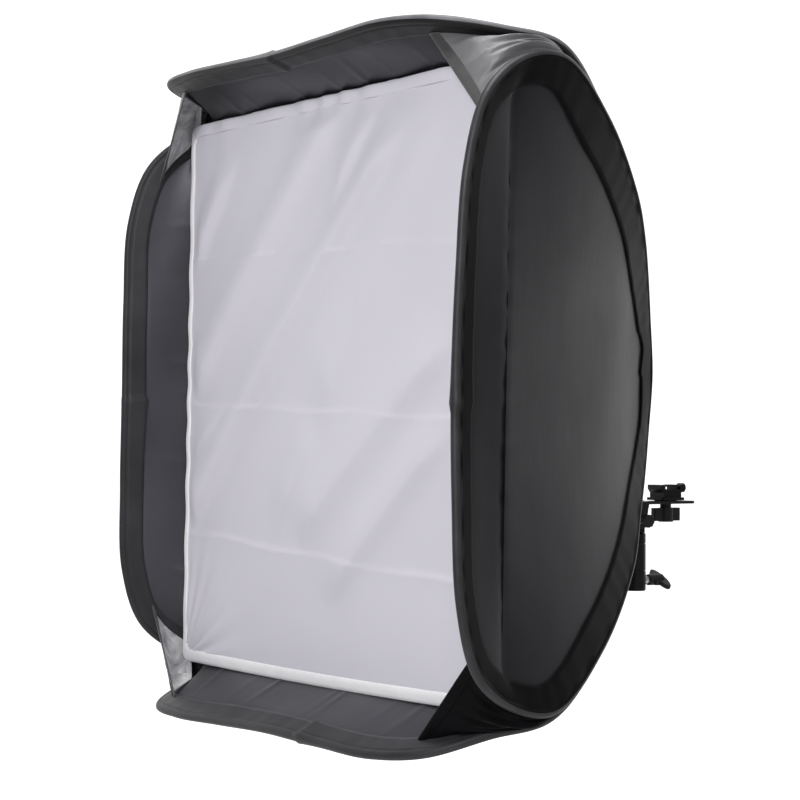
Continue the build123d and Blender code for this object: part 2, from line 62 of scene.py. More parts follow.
plate_low, plate_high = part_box("mounting_ring")
RING_CENTRE = Vector((0, plate_high[1] + 0.0012, (plate_low[2] + plate_high[2]) / 2))

# The right hoop, from the middle of its front edge to the middle of its rear edge: across, back, up.
HOOP_HALF = [
    (0.328, -0.063, 0.000),
    (0.3305, -0.062, 0.100),
    (0.3325, -0.057, 0.190),
    (0.327, -0.036, 0.250),
    (0.312, 0.010, 0.284),
    (0.298, 0.064, 0.290),
    (0.250, 0.150, 0.242),
    (0.185, 0.234, 0.177),
    (0.146, 0.274, 0.138),
    (0.106, 0.310, 0.098),
    (0.083, 0.331, 0.058),
    (0.079, 0.338, 0.000),
]
# Small differences from one sprung hoop to the next: side, half, control point, shift.
HOOP_SHIFTS = [
    ("top", "upper", 2, (0.000, -0.004, 0.006)),
    ("top", "upper", 3, (0.003, -0.012, 0.010)),
    ("top", "upper", 4, (0.004, -0.008, 0.004)),
    ("bottom", "lower", 2, (0.000, -0.004, 0.006)),
    ("bottom", "lower", 3, (0.003, -0.012, 0.010)),
    ("bottom", "lower", 4, (0.004, -0.008, 0.004)),
    ("right", "lower", 5, (0.002, 0.000, 0.006)),
    ("right", "lower", 6, (0.004, 0.000, 0.010)),
    ("right", "lower", 7, (0.004, 0.000, 0.008)),
    ("bottom", "upper", 5, (0.006, 0.000, 0.002)),
    ("bottom", "upper", 6, (0.010, 0.000, 0.004)),
    ("bottom", "upper", 7, (0.008, 0.000, 0.004)),
    ("top", "lower", 4, (0.003, 0.002, 0.000)),
    ("top", "lower", 5, (0.005, 0.000, 0.002)),
]
RIM_RADIUS = 0.0042
OVERLAPS = [-0.0115, 0.003, 0.0, 0.037]  # where each binding tape laps over itself, as a share of its run
HOOP_LENGTH = 1.9  # roughly, once round a hoop
TAPE_REACH = 0.021  # width of a binding's flaps
RIM_CLEAR = 0.003  # where the flaps leave the rounded rim
FLAP_POINTS = 7  # points across a flap, and round the rim between the two flaps
RIM_POINTS = 13
OUTER_STRIPS = 9  # strips below this one take the outer flap's cloth
INNER_STRIPS_FROM = 14  # strips from this one on take the inner flap's cloth, the tape lightened as painted light; the rim strips between take a painted highlight
WIRE_RADIUS = 0.0012
CRIMP_RADIUS = 0.0021
FABRIC = 0.0009
THIN_CLOTH = 0.0006
SEAM_BACK = 0.004  # where the diffuser's seam runs round inside the panels
SEAM_OUTSIDE = 0.0065  # and how far outside the diffuser's edge it lies
HOOP_STEPS = 360  # points along a hoop's binding and wire
LOOP_POINTS = 1200  # points along a hoop where a panel is cut from it
FRONT_CORNER = (0.327, -0.036, 0.250)  # the panel's corners on the right hoop: across, back, up
REAR_CORNER = (0.086, 0.328, 0.070)
PANEL_CELLS = 72
RELAX_STEPS = 2600
NEAR_CLOTH = (0.016, 0.034)  # how far from the hoop the cloth gives the way into the panel
WEDGE_RUN = 0.480  # where the right-hand cloth is pulled over its rear flap, as a share of the hoop's run
REAR_SHADE_FLAP = 2.2  # how much wider the outer flap is round the rear half of a hoop: its dark tape stands in as painted shade where the cloth turns from the light

SIDES = ["right", "top", "left", "bottom"]
CORNERS = ["top_right", "top_left", "bottom_left", "bottom_right"]

rng = np.random.default_rng(7)


def random_phases(count):
    return rng.uniform(0, 6.28, count)


# ---------------------------------------------------------------- geometry helpers
def spot(points):
    """Softbox points (across, back, up from its axis) in the part's frame."""
    p = np.asarray(points, float)
    out = np.empty_like(p)
    out[..., 0] = p[..., 0]
    out[..., 1] = p[..., 1] - STAND_OFFSET + LEAN * p[..., 2]
    out[..., 2] = RING_CENTRE.z + p[..., 2] + DROOP * (p[..., 1] - CHAMBER_DEPTH)
    return out


def turned(points, quarters):
    """The same softbox points on another of the four sides."""
    p = np.array(points, float)
    for _ in range(quarters):
        p = np.stack([-p[..., 2], p[..., 1], p[..., 0]], axis=-1)
    return p


def unit(v):
    return v / np.maximum(np.linalg.norm(v, axis=-1, keepdims=True), 1e-12)


def smooth_step(x):
    x = np.clip(x, 0, 1)
    return x * x * (3 - 2 * x)


def bump_at(x, centre, width):
    return np.exp(-(((x - centre) / width) ** 2))


def closed_spline(controls, steps):
    """A smooth closed curve through control points, evenly stepped along its length."""
    c = np.asarray(controls, float)
    n = len(c)
    chord = np.sqrt(np.linalg.norm(np.roll(c, -1, 0) - c, axis=1))
    knots = np.concatenate([[0], np.cumsum(chord)])
    fine = []
    for i in range(n):
        p0, p1, p2, p3 = c[i - 1], c[i], c[(i + 1) % n], c[(i + 2) % n]
        h0, h1, h2 = chord[i - 1], chord[i], chord[(i + 1) % n]
        m1 = h1 * ((p1 - p0) / h0 - (p2 - p0) / (h0 + h1) + (p2 - p1) / h1)
        m2 = h1 * ((p2 - p1) / h1 - (p3 - p1) / (h1 + h2) + (p3 - p2) / h2)
        t = np.linspace(0, 1, 60, endpoint=False)[:, None]
        fine.append(
            (2 * t**3 - 3 * t**2 + 1) * p1
            + (t**3 - 2 * t**2 + t) * m1
            + (3 * t**2 - 2 * t**3) * p2
            + (t**3 - t**2) * m2
        )
    fine = np.vstack(fine)
    ring = np.vstack([fine, fine[:1]])
    run = np.concatenate([[0], np.cumsum(np.linalg.norm(np.diff(ring, axis=0), axis=1))])
    at = np.linspace(0, run[-1], steps, endpoint=False)
    return np.stack([np.interp(at, run, ring[:, k]) for k in range(3)], axis=1)


def hoop_controls(quarters):
    """One side's hoop; each real hoop sits a little differently, so some corners are squarer."""
    upper = np.array(HOOP_HALF)
    lower = np.array(HOOP_HALF)
    for side, half, control, shift in HOOP_SHIFTS:
        if side == SIDES[quarters]:
            points = upper if half == "upper" else lower
            points[control] += shift
    return np.vstack([upper, lower[-2:0:-1] * (1, 1, -1)])


def mesh_piece(name, verts, faces, materials, body):
    """A smooth-shaded mesh object that rides on a body."""
    mesh = bpy.data.meshes.new(name)
    mesh.from_pydata([tuple(map(float, v)) for v in verts], [], faces)
    mesh.validate()
    for polygon in mesh.polygons:
        polygon.use_smooth = True
    piece = bpy.data.objects.new(name, mesh)
    bpy.context.scene.collection.objects.link(piece)
    for material in materials:
        mesh.materials.append(material)
    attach(piece, body)
    return piece


def grid_faces(rows, columns, wrap=False, start=0):
    """Four-sided faces over a grid of points, closed across its columns where it wraps."""
    faces = []
    for i in range(rows - 1):
        for j in range(columns if wrap else columns - 1):
            k = (j + 1) % columns
            a, b = start + i * columns + j, start + i * columns + k
            faces.append((a, b, b + columns, a + columns))
    return faces


def give_thickness(piece, thickness, inner_slot=None):
    """Make a sheet solid, with another material on its inner face where one is named."""
    solid = piece.modifiers.new("thickness", "SOLIDIFY")
    solid.thickness = thickness
    solid.offset = 0
    solid.use_rim = True
    if inner_slot is not None:
        solid.material_offset = inner_slot


# ---------------------------------------------------------------- materials
class Shader:
    """A Principled material whose nodes are added a line at a time."""

    def __init__(self, name, color, roughness, metallic=0.0, **sockets):
        self.material = bpy.data.materials.new(name)
        self.material.use_nodes = True
        self.tree = self.material.node_tree
        self.bsdf = self.tree.nodes["Principled BSDF"]
        self.bsdf.inputs["Base Color"].default_value = (*color, 1)
        self.bsdf.inputs["Roughness"].default_value = roughness
        self.bsdf.inputs["Metallic"].default_value = metallic
        for socket, value in sockets.items():
            self.bsdf.inputs[socket.replace("_", " ")].default_value = value
        self.where = self.node("ShaderNodeTexCoord").outputs["Object"]
        self.normal = None

    def node(self, kind, **settings):
        made = self.tree.nodes.new(kind)
        for key, value in settings.items():
            setattr(made, key, value)
        return made

    def link(self, output, target):
        self.tree.links.new(output, target)

    def noise(self, scale, detail=3.0, stretch=(1, 1, 1), turn=(0, 0, 0), distortion=0.0):
        mapping = self.node("ShaderNodeMapping")
        mapping.inputs["Scale"].default_value = stretch
        mapping.inputs["Rotation"].default_value = turn
        self.link(self.where, mapping.inputs["Vector"])
        made = self.node("ShaderNodeTexNoise")
        made.inputs["Scale"].default_value = scale
        made.inputs["Detail"].default_value = detail
        made.inputs["Distortion"].default_value = distortion
        self.link(mapping.outputs["Vector"], made.inputs["Vector"])
        return made.outputs["Fac"]

    def waves(self, scale, turn):
        mapping = self.node("ShaderNodeMapping")
        mapping.inputs["Rotation"].default_value = turn
        self.link(self.where, mapping.inputs["Vector"])
        made = self.node("ShaderNodeTexWave", wave_type="BANDS", bands_direction="X")
        made.inputs["Scale"].default_value = scale
        self.link(mapping.outputs["Vector"], made.inputs["Vector"])
        return made.outputs["Fac"]

    def ramp(self, value, low, high, start=0.3, end=0.7):
        made = self.node("ShaderNodeValToRGB")
        made.color_ramp.elements[0].position = start
        made.color_ramp.elements[1].position = end
        made.color_ramp.elements[0].color = (*low, 1)
        made.color_ramp.elements[1].color = (*high, 1)
        self.link(value, made.inputs["Fac"])
        return made.outputs["Color"]

    def color(self, value, low, high, start=0.3, end=0.7):
        self.link(self.ramp(value, low, high, start, end), self.bsdf.inputs["Base Color"])
        return self

    def roughness(self, value, low, high):
        made = self.node("ShaderNodeMapRange")
        made.inputs["To Min"].default_value = low
        made.inputs["To Max"].default_value = high
        self.link(value, made.inputs["Value"])
        self.link(made.outputs["Result"], self.bsdf.inputs["Roughness"])
        return self

    def bump(self, value, strength, distance):
        made = self.node("ShaderNodeBump")
        made.inputs["Strength"].default_value = strength
        made.inputs["Distance"].default_value = distance
        self.link(value, made.inputs["Height"])
        if self.normal is not None:
            self.link(self.normal, made.inputs["Normal"])
        self.normal = made.outputs["Normal"]
        self.link(self.normal, self.bsdf.inputs["Normal"])
        return self

    def weave(self, pitch, strength, distance):
        """Plain weave: two sets of threads crossing in the surface, one after the other."""
        scale = 1 / pitch / math.tau * math.pi
        self.bump(self.waves(scale, (0, 0, 0)), strength, distance)
        self.bump(self.waves(scale, (0, math.pi / 2, 0)), strength, distance)
        return self


BLUE_SHEEN = (0.92, 0.90, 1.0, 1)


def black_nylon():
    s = Shader("black_nylon_cloth", (0.010, 0.010, 0.012), 0.46, Sheen_Weight=0.07, Sheen_Roughness=0.35)
    s.bsdf.inputs["Specular IOR Level"].default_value = 0.19
    s.bsdf.inputs["Specular Tint"].default_value = BLUE_SHEEN
    s.color(s.noise(7, 4), (0.0100, 0.0097, 0.0116), (0.0162, 0.0158, 0.0186))
    s.roughness(s.noise(12, 3), 0.40, 0.54)
    s.weave(0.0011, 0.08, 0.0001)
    s.bump(s.noise(30, 4, (1, 1, 0.35)), 0.3, 0.0014)
    return s.material


def satin_lining(name, sheen, dark, light):
    s = Shader(name, light, 0.36, Sheen_Weight=sheen, Sheen_Roughness=0.3)
    s.bsdf.inputs["Specular IOR Level"].default_value = 0.45
    s.bsdf.inputs["Specular Tint"].default_value = BLUE_SHEEN
    s.color(s.noise(7, 3), dark, light)
    s.roughness(s.noise(16, 3), 0.30, 0.42)
    s.weave(0.0008, 0.2, 0.0001)
    s.bump(s.noise(22, 4), 0.3, 0.0016)
    return s.material


def binding_tape():
    s = Shader("binding_tape_cloth", (0.006, 0.006, 0.007), 0.48, Sheen_Weight=0.02, Sheen_Roughness=0.4)
    s.bsdf.inputs["Specular IOR Level"].default_value = 0.05
    s.color(s.noise(24, 3), (0.0022, 0.0022, 0.0028), (0.0052, 0.0052, 0.0062))
    s.weave(0.0018, 0.15, 0.0002)
    s.bump(s.noise(60, 4), 0.25, 0.001)
    return s.material


# A copy of the binding tape for its inner flap, lighter and shinier as painted light; the top hoop's copy is
# darker, as painted shade.
def tape_lighting_copy(name, dark, light):
    s = Shader(name, light, 0.5, Sheen_Weight=0.12, Sheen_Roughness=0.4)
    s.bsdf.inputs["Specular IOR Level"].default_value = 0.3
    s.color(s.noise(18, 3), dark, light)
    s.weave(0.0018, 0.12, 0.0002)
    s.bump(s.noise(40, 4), 0.3, 0.0012)
    return s.material


# A lighter cloth on the binding's rounded rim, as a painted highlight; the top hoop's copy is lighter still.
def painted_rim_highlight(name, dark, light):
    s = Shader(name, light, 0.5, Sheen_Weight=0.16, Sheen_Roughness=0.3)
    s.bsdf.inputs["Specular IOR Level"].default_value = 0.5
    s.color(s.noise(40, 4), dark, light)
    s.weave(0.0018, 0.12, 0.0002)
    s.bump(s.noise(40, 4), 0.4, 0.0012)
    return s.material


def silver_lining():
    s = Shader("silvered_lining", (0.80, 0.81, 0.83), 0.30, metallic=0.25)
    # the blotchy light and dark colour paints the reflections of the crinkles
    s.color(s.noise(30, 5, distortion=1.5), (0.34, 0.34, 0.37), (1.0, 1.0, 1.0))
    s.roughness(s.noise(30, 3), 0.2, 0.42)
    s.bump(s.noise(34, 5, distortion=1.5), 0.75, 0.004)
    s.weave(0.0012, 0.15, 0.0001)
    return s.material


def diffusion_cloth():
    s = Shader("white_diffusion_cloth", (0.70, 0.69, 0.75), 0.6, Sheen_Weight=0.08)
    s.color(s.noise(3.2, 3, (1, 1, 0.6), (0, 0.6, 0)), (0.690, 0.668, 0.745), (0.745, 0.722, 0.800))
    s.weave(0.0009, 0.2, 0.0001)
    s.bump(s.noise(22, 5, (1, 1, 0.4), (0, 0.78, 0)), 0.2, 0.001)
    return s.material


# Whiter than the diffusion cloth: partly the doubled cloth, partly painted light on the bottom and left hems.
def white_hem():
    s = Shader("white_hem_cloth", (0.86, 0.85, 0.90), 0.6, Sheen_Weight=0.1)
    s.color(s.noise(30, 3), (0.90, 0.89, 0.93), (0.97, 0.96, 0.98))
    s.weave(0.0009, 0.3, 0.00015)
    s.bump(s.noise(70, 3), 0.3, 0.001)
    return s.material


# Grey satin outer cloth, lightened as painted light from the top lamp.
def lit_gusset_outer():
    s = Shader("gusset_outer_cloth_painted_light", (0.05, 0.05, 0.055), 0.34, Sheen_Weight=0.6, Sheen_Roughness=0.3)
    s.bsdf.inputs["Specular IOR Level"].default_value = 0.8
    s.color(s.noise(18, 4), (0.095, 0.095, 0.102), (0.190, 0.190, 0.200))
    s.weave(0.001, 0.3, 0.0002)
    s.bump(s.noise(45, 4), 0.5, 0.002)
    return s.material


def elastic():
    s = Shader("elastic_edging_cloth", (0.02, 0.02, 0.022), 0.5, Sheen_Weight=0.3)
    s.color(s.noise(50, 3), (0.014, 0.014, 0.016), (0.032, 0.032, 0.035))
    s.weave(0.0016, 0.6, 0.0004)
    return s.material


def hook_tape():
    s = Shader("hook_and_loop", (0.02, 0.02, 0.022), 0.9, Sheen_Weight=0.4)
    s.color(s.noise(220, 3), (0.012, 0.012, 0.014), (0.04, 0.04, 0.044))
    s.bump(s.noise(900, 2), 1.0, 0.0008)
    return s.material


def black_powder_coat():
    s = Shader("black_powder_coat", (0.006, 0.006, 0.007), 0.42)
    s.bsdf.inputs["Specular IOR Level"].default_value = 0.35
    s.color(s.noise(120, 3), (0.004, 0.004, 0.005), (0.010, 0.010, 0.011))
    s.roughness(s.noise(60, 3), 0.34, 0.5)
    s.bump(s.noise(1400, 3), 0.35, 0.0002)
    return s.material


def black_anodised():
    s = Shader("black_anodised_alloy", (0.007, 0.007, 0.008), 0.34, metallic=0.3)
    s.bsdf.inputs["Specular IOR Level"].default_value = 0.3
    s.color(s.noise(80, 3), (0.005, 0.005, 0.006), (0.012, 0.012, 0.014))
    s.roughness(s.noise(150, 3, (1, 1, 14)), 0.24, 0.4)
    s.bump(s.noise(500, 2, (1, 1, 9)), 0.2, 0.0001)
    return s.material


def moulded_plastic():
    s = Shader("moulded_black_plastic", (0.008, 0.008, 0.009), 0.45)
    s.bsdf.inputs["Specular IOR Level"].default_value = 0.35
    s.color(s.noise(60, 3), (0.006, 0.006, 0.007), (0.013, 0.013, 0.014))
    s.roughness(s.noise(90, 3), 0.4, 0.6)
    s.bump(s.noise(1800, 3), 0.5, 0.0003)
    return s.material


def zinc_steel():
    s = Shader("zinc_plated_steel", (0.55, 0.56, 0.57), 0.3, metallic=1.0)
    s.color(s.noise(70, 4), (0.42, 0.43, 0.44), (0.66, 0.67, 0.68))
    s.roughness(s.noise(120, 3), 0.22, 0.42)
    s.bump(s.noise(900, 2), 0.2, 0.0001)
    return s.material


def spring_steel():
    s = Shader("spring_steel_wire", (0.35, 0.36, 0.38), 0.35, metallic=1.0)
    s.color(s.noise(90, 3), (0.26, 0.27, 0.29), (0.42, 0.43, 0.45))
    s.bump(s.noise(700, 2), 0.2, 0.0001)
    return s.material


def turned_brass():
    s = Shader("turned_brass", (0.72, 0.52, 0.22), 0.28, metallic=1.0)
    s.color(s.noise(60, 3), (0.60, 0.42, 0.17), (0.80, 0.60, 0.28))
    s.bump(s.noise(1200, 2, (1, 8, 1)), 0.2, 0.0001)
    return s.material


def black_rubber():
    s = Shader("black_rubber", (0.02, 0.02, 0.02), 0.8)
    s.color(s.noise(100, 3), (0.014, 0.014, 0.014), (0.032, 0.032, 0.032))
    s.bump(s.noise(1500, 3), 0.6, 0.0003)
    return s.material


def fibre():
    s = Shader("fibre_disc", (0.09, 0.08, 0.07), 0.75)
    s.color(s.noise(300, 3), (0.06, 0.055, 0.05), (0.13, 0.12, 0.105))
    s.bump(s.noise(1100, 3), 0.5, 0.0002)
    return s.material


NYLON = black_nylon()
# The lip satin comes in three copies: the plain one on the bottom lip, a darker one as painted shade on the
# top lip, and a lighter, shinier one as painted light on the left and right lips.
SATIN = satin_lining("black_satin_lining", 0.32, (0.019, 0.019, 0.024), (0.031, 0.031, 0.038))
SHADED_SATIN = satin_lining("black_satin_lining_painted_shade", 0.06, (0.006, 0.006, 0.008), (0.011, 0.011, 0.014))
LIT_SATIN = satin_lining("black_satin_lining_painted_light", 0.60, (0.034, 0.034, 0.041), (0.054, 0.054, 0.063))
LIP_LIT_AND_SHADED_CLOTH = {"right": LIT_SATIN, "top": SHADED_SATIN, "left": LIT_SATIN, "bottom": SATIN}
TAPE = binding_tape()
# The inner flaps take copies of the tape lightened as painted light, a darker one on the top hoop as painted
# shade; the rims take painted highlights, brightest on the top hoop.
LIT_INNER_FLAP = tape_lighting_copy("inner_flap_tape_painted_light", (0.017, 0.017, 0.020), (0.033, 0.033, 0.038))
SHADED_INNER_FLAP = tape_lighting_copy("inner_flap_tape_painted_shade", (0.003, 0.003, 0.004), (0.008, 0.008, 0.009))
RIM_HIGHLIGHT = painted_rim_highlight("binding_rim_painted_highlight", (0.012, 0.012, 0.014), (0.030, 0.030, 0.034))
TOP_RIM_HIGHLIGHT = painted_rim_highlight("binding_top_rim_painted_highlight", (0.085, 0.085, 0.092), (0.175, 0.175, 0.188))
SILVER = silver_lining()
WHITE = diffusion_cloth()
HEM = white_hem()
LIT_GUSSET = lit_gusset_outer()
ELASTIC = elastic()
HOOK = hook_tape()
POWDER = black_powder_coat()
ANODISED = black_anodised()
PLASTIC = moulded_plastic()
ZINC = zinc_steel()
SPRING = spring_steel()
BRASS = turned_brass()
RUBBER = black_rubber()
FIBRE = fibre()

CAD_FINISHES = {
    "spring_steel": SPRING,
    "binding_tape": TAPE,
    "black_nylon": NYLON,
    "black_satin": SATIN,
    "gusset_cloth": LIT_GUSSET,
    "elastic_edging": ELASTIC,
    "white_diffusion_cloth": WHITE,
    "white_hem": HEM,
    "hook_and_loop": HOOK,
    "brass": BRASS,
    "black_plate": POWDER,
    "bright_steel": ZINC,
    "friction_disc": FIBRE,
    "black_knob": PLASTIC,
    "black_alloy": ANODISED,
    "black_rubber": RUBBER,
}


def finish_cad_nodes():
    for entry in frame["record"]["subparts"]:
        node = frame["nodes"][entry["node"]]
        material = CAD_FINISHES[entry["material_slot"]]
        node.data.materials.clear()
        node.data.materials.append(material)


# ---------------------------------------------------------------- the four sides
def panel_grid(quarters):
    """A side panel's surface in softbox coordinates: a tensioned sheet.

    It is held by its hoop all round, and by the diffuser's seam a little way back.
    """
    loop = closed_spline(hoop_controls(quarters), LOOP_POINTS)
    arc = np.arange(LOOP_POINTS) / LOOP_POINTS
    upper_half = loop[: LOOP_POINTS // 2]
    corner_front = arc[np.argmin(np.linalg.norm(upper_half - FRONT_CORNER, axis=1))]
    corner_rear = arc[np.argmin(np.linalg.norm(upper_half - REAR_CORNER, axis=1))]
    closed = np.vstack([loop, loop[:1]])

    def at(share):
        place = (np.asarray(share) % 1.0) * LOOP_POINTS
        return np.stack([np.interp(place, np.arange(LOOP_POINTS + 1), closed[:, k]) for k in range(3)], -1)

    s = np.linspace(0, 1, PANEL_CELLS + 1)
    front = at(-corner_front + 2 * corner_front * s)
    rear = at((1 - corner_rear) + (2 * corner_rear - 1) * s)
    upper = at(corner_front + (corner_rear - corner_front) * s)
    lower = at(1 - corner_front - (corner_rear - corner_front) * s)
    u, v = np.meshgrid(s, s, indexing="ij")
    u3, v3 = u[..., None], v[..., None]
    g = (1 - u3) * front[None] + u3 * rear[None] + (1 - v3) * lower[:, None] + v3 * upper[:, None]
    corners = (1 - u3) * (1 - v3) * front[0] + (1 - u3) * v3 * front[-1]
    corners = corners + u3 * (1 - v3) * rear[0] + u3 * v3 * rear[-1]
    g -= corners
    # the sewn line where the diffuser's flange is stitched to the panel
    row = int(np.argmin(np.abs(g[:, PANEL_CELLS // 2, 1] - SEAM_BACK)))
    seam = g[row].copy()
    share = np.abs(seam[:, 2]) / np.abs(seam[:, 2]).max()
    across = (HALF_WIDTH if quarters % 2 == 0 else HALF_HEIGHT) + SEAM_OUTSIDE
    hold = smooth_step((1 - share) / 0.1)
    seam[:, 1] += (SEAM_BACK - seam[:, 1]) * hold
    seam[:, 0] += (across - seam[:, 0]) * hold
    for _ in range(RELAX_STEPS):
        g[1:-1, 1:-1] = 0.25 * (g[:-2, 1:-1] + g[2:, 1:-1] + g[1:-1, :-2] + g[1:-1, 2:])
        g[row, 1:-1, :2] = seam[1:-1, :2]
    return g, row


def outward_normals(g):
    normal = unit(np.cross(np.gradient(g, axis=1), np.gradient(g, axis=0)))
    return normal if normal[..., 0].mean() > 0 else -normal


def panel_details(g, row):
    """Puckers along the sewn line and soft slack waves."""
    normal = outward_normals(g)
    rows, columns = g.shape[:2]
    u = np.linspace(0, 1, rows)[:, None]
    v = np.linspace(-1, 1, columns)[None]
    away = np.abs(np.arange(rows) - row)[:, None] / rows
    phase = random_phases(6)
    edge = (1 - v**2) * np.minimum(1, 12 * u * (1 - u))
    pucker = np.sin(v * 47 + phase[0]) + 0.7 * np.sin(v * 83 + phase[1])
    lift = 0.0004 * pucker * np.exp(-away * 40) * (1 - v**2)
    lift = lift - 0.0009 * np.exp(-away * 110) * (1 - v**4)
    lift = lift + 0.0013 * np.sin(4.2 * u + 2.6 * v + phase[2]) * edge
    lift = lift + 0.0006 * np.sin(9 * u - 5 * v + phase[3]) * edge
    dip = np.exp(-(((u - 0.86) / 0.12) ** 2)) * (1 - v**4) * np.minimum(1, 12 * (1 - u))
    lift = lift - 0.003 * dip
    return g + normal * lift[..., None]


def take_along(g, index, axis):
    return np.take(g, np.clip(index, 0, g.shape[axis] - 1), axis=axis)


def refine(g, times):
    """A finer copy of a grid, by interpolation along both directions."""
    for axis in (0, 1):
        n = g.shape[axis]
        at = np.linspace(0, n - 1, (n - 1) * times + 1)
        low = np.clip(np.floor(at).astype(int), 0, n - 2)
        t = at - low
        shape = [1, 1, 1]
        shape[axis] = -1
        t = t.reshape(shape)
        a, b, c, d = [take_along(g, low + shift, axis) for shift in (-1, 0, 1, 2)]
        g = 0.5 * (
            2 * b
            + (c - a) * t
            + (2 * a - 5 * b + 4 * c - d) * t**2
            + (3 * b - a - 3 * c + d) * t**3
        )
    return g


def hoop_frames(curve, g):
    """Along the hoop: its direction, the way into the panel, and the panel's outward normal."""
    ahead = unit(np.roll(curve, -1, 0) - np.roll(curve, 1, 0))
    flat = g.reshape(-1, 3)
    inward = np.empty_like(curve)
    for i, p in enumerate(curve):
        distance = np.linalg.norm(flat - p, axis=1)
        ring = (distance > NEAR_CLOTH[0]) & (distance < NEAR_CLOTH[1])
        inward[i] = (flat[ring] - p).mean(0) if ring.any() else g[g.shape[0] // 2, g.shape[1] // 2] - p
    for _ in range(6):
        inward = (np.roll(inward, 1, 0) + 2 * inward + np.roll(inward, -1, 0)) / 4
    inward = unit(inward - (inward * ahead).sum(1, keepdims=True) * ahead)
    outward = np.cross(ahead, inward)
    if outward[:, 0].mean() < 0:
        outward = -outward
    return ahead, inward, outward


def binding_piece(quarters, curve, frames, cloth):
    """Tape folded over the sprung hoop: a rounded rim, and a flap sewn down on each face of the cloth."""
    _, inward, outward = frames
    n = len(curve)
    run = (np.arange(n) / n + 0.5) % 1 - 0.5
    past = (run - OVERLAPS[quarters]) * HOOP_LENGTH
    overlap = smooth_step(past / 0.0016) * np.exp(-np.maximum(past, 0) / 0.020)
    slack = 1 + 0.02 * np.sin(run * math.tau * 5 + quarters) + 0.008 * np.sin(run * math.tau * 13)
    fold = np.maximum(0, 1 - np.abs(run - WEDGE_RUN) / 0.022) * (quarters == 0)
    uneven = 0.8 + 0.2 * np.tanh(run * 20)
    # the dark outer flap widens round the rear, as painted shade on the cloth there
    rear_shade_mask = smooth_step((np.abs(run) - 0.16) / 0.12)
    shade_widening = 1 + (REAR_SHADE_FLAP - 1) * uneven * rear_shade_mask * (1 - 0.62 * fold)
    profile = []
    for share in np.linspace(0, 1, FLAP_POINTS):
        profile.append((TAPE_REACH * (1 - share) + RIM_CLEAR * share, 0.0018 + 0.0014 * share, 1))
    for angle in np.linspace(math.radians(50), math.radians(310), RIM_POINTS):
        profile.append((RIM_RADIUS * math.cos(angle), RIM_RADIUS * math.sin(angle), 0))
    for share in np.linspace(0, 1, FLAP_POINTS):
        profile.append((RIM_CLEAR * (1 - share) + TAPE_REACH * share, -0.0036 - 0.0006 * share, -1))
    count = len(profile)
    verts = np.empty((n, count, 3))
    for j, (reach, up, face) in enumerate(profile):
        sideways = reach * (1 + 0.12 * overlap)
        if face:
            sideways = sideways * slack
        if face == 1:
            sideways = RIM_CLEAR + (sideways - RIM_CLEAR) * shade_widening
        waviness = np.sin(run * math.tau * 47 + 2 * np.sin(run * math.tau * 9) + 2 * face)
        height = up * (1 + 0.6 * overlap) + face * 0.00015 * waviness
        verts[:, j] = curve + inward * sideways[:, None] + outward * height[:, None]
        if face == 1 and reach > 2 * RIM_CLEAR:
            for i in range(n):
                near, normal = cloth.find_nearest(verts[i, j])[:2]
                normal *= math.copysign(1, normal.dot(Vector(outward[i])))
                verts[i, j] = near + normal * float(height[i])
    faces = []
    for i in range(n):
        k = (i + 1) % n
        for j in range(count - 1):
            faces.append((i * count + j, i * count + j + 1, k * count + j + 1, k * count + j))
    return verts.reshape(-1, 3), faces


def tube(curve, radius, closed=True, sides=10):
    """A tube along a curve's points, with no faces between the last and the first where it isn't closed."""
    ahead = unit(np.roll(curve, -1, 0) - np.roll(curve, 1, 0))
    across = unit(np.cross(ahead, (0.3, 0.2, 0.9)))
    over = np.cross(ahead, across)
    rings = []
    for k in range(sides):
        angle = math.tau * k / sides
        rings.append(curve + radius * (across * math.cos(angle) + over * math.sin(angle)))
    verts = np.stack(rings, 1).reshape(-1, 3)
    faces = []
    n = len(curve)
    for i in range(n if closed else n - 1):
        for k in range(sides):
            a, b = i * sides + k, i * sides + (k + 1) % sides
            c, d = (i + 1) % n * sides + (k + 1) % sides, (i + 1) % n * sides + k
            faces.append((a, b, c, d))
    return verts, faces


FACING_FOLDS = (0.0010, 0.0004, 0.0014, 0.0006)  # heights of the folds, one after the other


def lip_surface(smooth, row):
    """The black facing inside a side, from its hoop back to the diffuser's edge."""
    u = np.linspace(0, 1, row + 1)[:, None, None]
    inside = smooth[: row + 1] - outward_normals(smooth)[: row + 1] * (0.0008 + 0.0024 * u)
    lip = refine(inside[1:, 1:-1], 3)
    rows, columns = lip.shape[:2]
    u = np.linspace(0, 1, rows)[:, None]
    v = np.linspace(-1, 1, columns)[None]
    phase = random_phases(5)
    hold = (1 - v**8) * smooth_step(u / 0.3)
    ripple = 0.0011 * np.sin(v * 7 + 2 * u + phase[0]) * np.sin(math.pi * u) * hold
    for k, centre in enumerate(np.linspace(-0.75, 0.75, 7) + rng.uniform(-0.12, 0.12, 7)):
        height = FACING_FOLDS[k % len(FACING_FOLDS)]
        ripple = ripple + height * bump_at(v - 0.03 * u, centre, 0.016 + 0.02 * (1 - u)) * u**1.5 * hold
    lip = lip - np.array([1.0, 0, 0]) * (ripple + 0.001 * hold)[..., None]
    return lip


def make_panel(side, quarters, fine, faces):
    """The outer cloth of one side, black outside and silvered inside."""
    verts = spot(turned(fine, quarters)).reshape(-1, 3)
    panel = mesh_piece(f"panel_cloth_{side}", verts, faces, [NYLON, SILVER], "bracket")
    give_thickness(panel, FABRIC, inner_slot=1)
    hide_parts(f"panel_{side}")
    return panel


